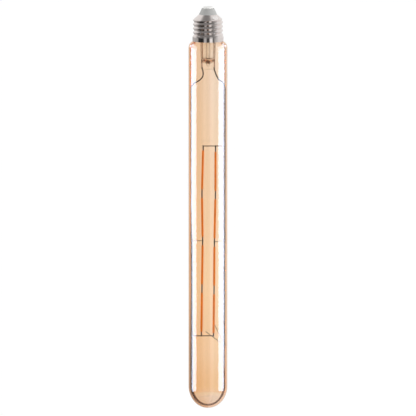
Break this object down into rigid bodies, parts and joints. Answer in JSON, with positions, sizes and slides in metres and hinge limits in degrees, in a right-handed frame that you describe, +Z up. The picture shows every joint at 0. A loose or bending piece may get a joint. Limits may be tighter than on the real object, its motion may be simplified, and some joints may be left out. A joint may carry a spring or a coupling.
{
  "type": "led filament bulb",
  "caption": "Long straight amber glass tube bulb on a screw cap, closed by a rounded end, with chains of filament strips held on wire supports inside.",
  "frame": {"origin": "middle of the centre contact's outer face, at the top of the hanging bulb", "axes": "+Z up along the bulb's axis, out of the cap; +X to the right and +Y away from the viewer of the picture, so both support wires lie in the XZ plane"},
  "size_m": [0.034, 0.034, 0.355],
  "materials": {
    "support_metal": "dull dark wire",
    "chip_black": "moulded, matt",
    "cement": "matt cement",
    "insulator": "moulded, satin",
    "cap_metal": "nickel plated, bright",
    "contact_metal": "nickel plated, satin",
    "ferrite": "sintered, matt",
    "winding": "enamelled copper",
    "copper_wire": "bare copper",
    "board": "laminate",
    "capacitor_sleeve": "shrink sleeve",
    "clear_glass": "clear, polished",
    "resistor_coat": "coated",
    "amber_glass": "clear amber tint, polished",
    "phosphor": "orange phosphor silicone, matt",
    "tab_metal": "plated strip",
    "seal_metal": "red copper-clad wire",
    "solder": "tin solder, satin"
  },
  "bodies": {
    "root": {"brace_spring": "support_metal", "bridge_rectifier": "chip_black", "cap_cement": "cement", "cap_insulator": "insulator", "cap_shell": "cap_metal", "centre_contact": "contact_metal", "choke_drum": "ferrite", "choke_winding": "winding", "contact_wire": "copper_wire", "driver_board": "board", "driver_chip": "chip_black", "electrolytic_capacitor": "capacitor_sleeve", "exhaust_tube": "clear_glass", "fusible_resistor": "resistor_coat", "glass_tube": "amber_glass", "left_filament_1": "phosphor", "left_filament_1_lower_tab": "tab_metal", "left_filament_1_upper_tab": "tab_metal", "left_filament_2": "phosphor", "left_filament_2_lower_tab": "tab_metal", "left_filament_2_upper_tab": "tab_metal", "left_filament_3": "phosphor", "left_filament_3_lower_tab": "tab_metal", "left_filament_3_upper_tab": "tab_metal", "left_filament_4": "phosphor", "left_filament_4_lower_tab": "tab_metal", "left_filament_4_upper_tab": "tab_metal", "left_middle_anchor": "support_metal", "left_outer_lead": "copper_wire", "left_seal_wire": "seal_metal", "left_support_wire": "support_metal", "lower_crossbar": "support_metal", "right_filament_1": "phosphor", "right_filament_1_lower_tab": "tab_metal", "right_filament_1_upper_tab": "tab_metal", "right_filament_2": "phosphor", "right_filament_2_lower_tab": "tab_metal", "right_filament_2_upper_tab": "tab_metal", "right_filament_3": "phosphor", "right_filament_3_lower_tab": "tab_metal", "right_filament_3_upper_tab": "tab_metal", "right_filament_4": "phosphor", "right_filament_4_lower_tab": "tab_metal", "right_filament_4_upper_tab": "tab_metal", "right_middle_anchor": "support_metal", "right_outer_lead": "copper_wire", "right_seal_wire": "seal_metal", "right_support_wire": "support_metal", "shell_wire": "copper_wire", "solder_spot": "solder", "stem_flare": "clear_glass", "upper_crossbar": "support_metal"}
  },
  "joints": []
}
